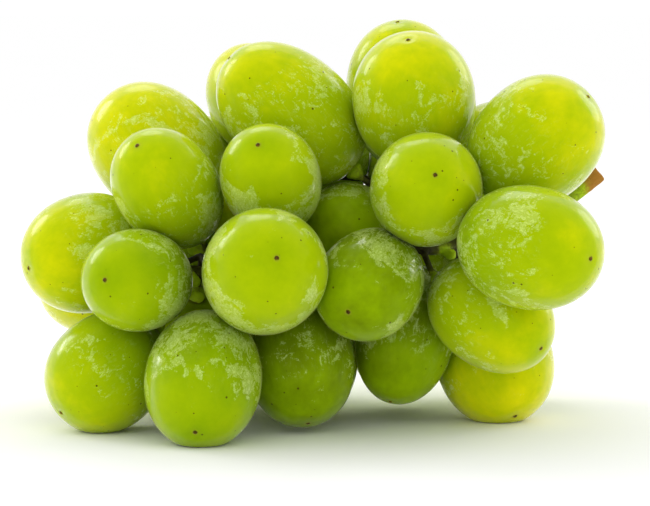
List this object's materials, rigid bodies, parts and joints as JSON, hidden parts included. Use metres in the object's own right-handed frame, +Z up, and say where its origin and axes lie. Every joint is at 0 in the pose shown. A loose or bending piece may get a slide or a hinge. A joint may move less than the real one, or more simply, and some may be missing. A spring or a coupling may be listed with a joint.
{
  "type": "bunch of green grapes",
  "caption": "Short, broad bunch of large oval green table grapes on a cut, branching stalk, lying on its side on a surface.",
  "frame": {"origin": "on the surface that the bunch lies on, under the middle of the bunch's box", "axes": "+X along the bunch, towards the cut end of the stalk; -Y towards the viewed side; +Z up from the surface"},
  "size_m": [0.1278, 0.1096, 0.088],
  "materials": {
    "berry_skin": "translucent yellow-green grape skin, satin, with patches of pale waxy bloom and fine brown specks",
    "berry_skin_green": "translucent grape skin of a deeper green, satin, with patches of pale waxy bloom and fine brown specks",
    "stalk_wood": "half-green, half-brown grape stalk, matt, drying to brown at the cut and along the twigs"
  },
  "bodies": {
    "root": {"berry_back_01": "berry_skin", "berry_back_02": "berry_skin", "berry_back_03": "berry_skin", "berry_back_04": "berry_skin", "berry_back_05": "berry_skin", "berry_back_06": "berry_skin", "berry_front_01": "berry_skin", "berry_front_02": "berry_skin", "berry_front_03": "berry_skin", "berry_front_04": "berry_skin", "berry_front_05": "berry_skin", "berry_front_06": "berry_skin", "berry_front_07": "berry_skin", "berry_front_08": "berry_skin", "berry_front_09": "berry_skin_green", "berry_front_10": "berry_skin", "berry_left_01": "berry_skin", "berry_left_02": "berry_skin", "berry_low_01": "berry_skin", "berry_low_02": "berry_skin", "berry_low_03": "berry_skin_green", "berry_low_04": "berry_skin_green", "berry_low_05": "berry_skin", "berry_low_06": "berry_skin", "berry_low_07": "berry_skin", "berry_low_08": "berry_skin", "berry_low_09": "berry_skin", "berry_right_01": "berry_skin", "berry_right_02": "berry_skin", "berry_right_03": "berry_skin", "berry_top_01": "berry_skin", "berry_top_02": "berry_skin", "berry_top_03": "berry_skin", "berry_top_04": "berry_skin", "berry_top_05": "berry_skin", "berry_top_06": "berry_skin", "stalk": "stalk_wood"}
  },
  "joints": []
}
